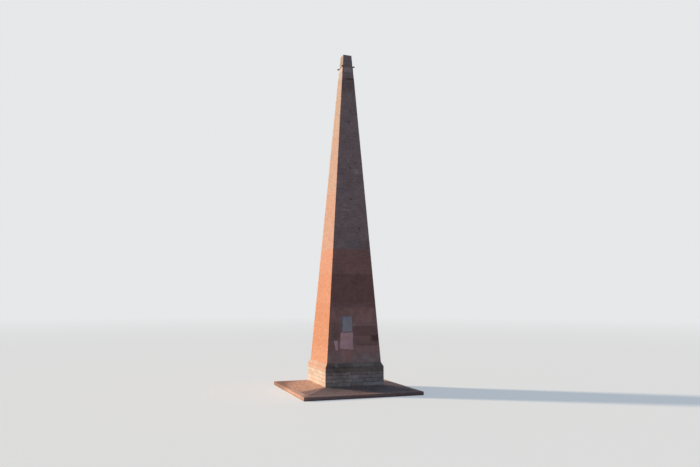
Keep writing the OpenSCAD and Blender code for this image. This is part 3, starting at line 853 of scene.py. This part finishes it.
# The rust runs down from each ear
EAR_REACH = 0.36
for x, y in product((-EAR_REACH, EAR_REACH), repeat=2):
    stain(collar_stone, (x - 0.05, y - 0.05, 20.25), (x + 0.05, y + 0.05, 20.66), 0.12, "#8f5f42", 0.55,
          wander=0.04)
for look, film_and_shade in ((head_stone, "#e1eefd"), (collar_stone, "#dde5e9")):
    # The darkening of the shaft's front, partly damp film and partly painted shade, goes on over the head
    front_stain(look, -1, 1, 19.7, 22, 0.06, film_and_shade, 1.0, "MULTIPLY")
stain(collar_stone, (-1, -1, 19.8), (1, 1, 20.27), 0.06, "#a3968e", 0.22, "MULTIPLY", wander=0.03)
front_stain(collar_stone, -1, 1, 19.8, 20.27, 0.06, "#948470", 0.28, "MULTIPLY", wander=0.03)
head_rng = np.random.default_rng(17)
head_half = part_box("band_right")[0].x
neck_top_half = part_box("collar_course")[1].x
cap_foot_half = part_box("cap_stone")[1].x
cap_top_half = cap_foot_half - 0.0525
# Each stone's name and CAD node, half its width at foot and top, its look, its wear and its cells upward
for name, node, foot_half, top_half, look, wear, cells_up in (
        ("neck_stone", "neck_course", shaft_top_half, neck_top_half, collar_stone, 0.010, 6),
        ("collar_stone", "collar_course", neck_top_half, head_half, collar_stone, 0.010, 6),
        ("worn_cap_stone", "cap_stone", cap_foot_half, cap_top_half, head_stone, 0.020, 12)):
    low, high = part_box(node)
    stone = np.empty((1, 2, 2, 2, 3))
    for a, d, t in CORNERS:
        half = top_half if t else foot_half
        stone[0, a, d, t] = half if a else -half, half if d else -half, high.z if t else low.z
    piece = worn_blocks(name, stone, look, head_rng, wear=wear, cells=(12, 12, cells_up),
                        sway=(0.0025, 0.0025, 0.0015), swell=0.22)
    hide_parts(node)

# Iron band. Four wrought bars with their ends turned out as ears lie round the collar's seat, and a
# bolt through each pair of ears draws them tight. The bars were limewashed with the stone and the ears
# have rusted bare.

# Wrought iron, rusted: a dark brown crust with orange bloom, dull and flaking, with no bare metal left.
rusted_iron = mineral("rusted_wrought_iron", ("#2b211c", "#4a3326", "#6b4128", "#7f4f2e"), cloud_mm=35,
                      grit_mm=3, relief_mm=0.8, roughness=0.85)
# The limewash ends at the roots of the ears
EAR_ROOT = 0.358
stain(rusted_iron, (-EAR_ROOT, -EAR_ROOT, 20.5), (EAR_ROOT, EAR_ROOT, 20.8), 0.012, "#c4ad93", 0.85,
      wander=0.002)
speckle(rusted_iron, 34, 0.6, 0.3, "#74482e", 0.8)
for part in (*SIDES, "bolts"):
    wear_on_node("band_" + part, rusted_iron)

# The set. A plain pale floor and backdrop, one soft lamp from the left and behind, where the light came
# from, and an even light all round. The camera stands where the photograph was taken.


def seen(tree):
    """1 for what the camera sees, also through glass or in a mirror, and 0 for what lights the obelisk."""
    ray = add(tree, "LightPath")
    mirrored = add(tree, "Math", {0: ray.outputs["Is Transmission Ray"], 1: ray.outputs["Is Glossy Ray"]},
                   operation="MAXIMUM")
    return add(tree, "Math", {0: ray.outputs["Is Camera Ray"], 1: mirrored}, operation="MAXIMUM")


BACKDROP = "#e6e8e9"
backdrop = bpy.data.worlds.new("studio")
bpy.context.scene.world = backdrop
backdrop.use_nodes = True
sky = backdrop.node_tree
to_camera = seen(sky)
fill = add(sky, "Background", {"Color": linear("#9bc7ff"), "Strength": 0.37})
plain = add(sky, "Background", {"Color": linear(BACKDROP), "Strength": 1.0})
either = add(sky, "MixShader", {0: to_camera, 1: fill, 2: plain})
sky.links.new(either.outputs[0], sky.nodes["World Output"].inputs[0])

# The floor fades into the backdrop between these distances
FADE_FROM = 35
FADE_TO = 160
bpy.ops.mesh.primitive_circle_add(vertices=96, radius=400, fill_type="NGON")
floor = bpy.context.object
floor.name = "studio_floor"
paper = bpy.data.materials.new("matt_floor_paint")
paper.use_nodes = True
tree = paper.node_tree
tree.nodes.remove(tree.nodes["Principled BSDF"])
lit = add(tree, "BsdfDiffuse", {"Color": linear("#dfd6c6")})
lift_up = add(tree, "Emission", {"Color": linear(BACKDROP), "Strength": 0.42})
both = add(tree, "AddShader", {0: lit, 1: lift_up})
far_colour = add(tree, "Emission", {"Color": linear(BACKDROP), "Strength": 1.0})
spot = add(tree, "TexCoord").outputs["Object"]
distance = add(tree, "VectorMath", {0: spot}, operation="LENGTH")
fade = add(tree, "MapRange", {"Value": distance.outputs["Value"], "From Min": FADE_FROM, "From Max": FADE_TO},
           interpolation_type="SMOOTHSTEP")
near_and_far = add(tree, "MixShader", {0: fade, 1: both, 2: far_colour})
dim = add(tree, "BsdfDiffuse", {"Color": linear("#c8aca2")})
shown = add(tree, "MixShader", {0: seen(tree), 1: dim, 2: near_and_far})
tree.links.new(shown.outputs[0], tree.nodes["Material Output"].inputs["Surface"])
floor.data.materials.append(paper)

key = bpy.data.lights.new("key_lamp", "SUN")
key.energy = 4.27
key.angle = math.radians(5)
key.color = linear("#fff2de")[:3]
key_lamp = bpy.data.objects.new("key_lamp", key)
bpy.context.scene.collection.objects.link(key_lamp)
KEY_HEIGHT_DEG = 17
KEY_FROM_LEFT_DEG = 31
key_lamp.rotation_euler = math.radians(90 - KEY_HEIGHT_DEG), 0, math.radians(-90 - KEY_FROM_LEFT_DEG)

camera_data = bpy.data.cameras.new("camera")
camera = bpy.data.objects.new("camera", camera_data)
bpy.context.scene.collection.objects.link(camera)
CAMERA_DISTANCE = 40.64
CAMERA_HEIGHT = 5.681
CAMERA_ROUND = 0.3364
HEADING, PITCH, ROLL = 0.3437, 0.1005, 0.0030
camera_data.sensor_width = 36
camera_data.lens = 32.9
camera_data.clip_end = 1000
aim = Euler((math.pi / 2 + PITCH, 0, -HEADING)).to_matrix() @ Matrix.Rotation(ROLL, 3, "Z")
across, back = -CAMERA_DISTANCE * math.sin(CAMERA_ROUND), -CAMERA_DISTANCE * math.cos(CAMERA_ROUND)
camera.matrix_world = Matrix.Translation((across, back, CAMERA_HEIGHT)) @ aim.to_4x4()
bpy.context.scene.camera = camera
bpy.context.scene.view_settings.view_transform = "Standard"
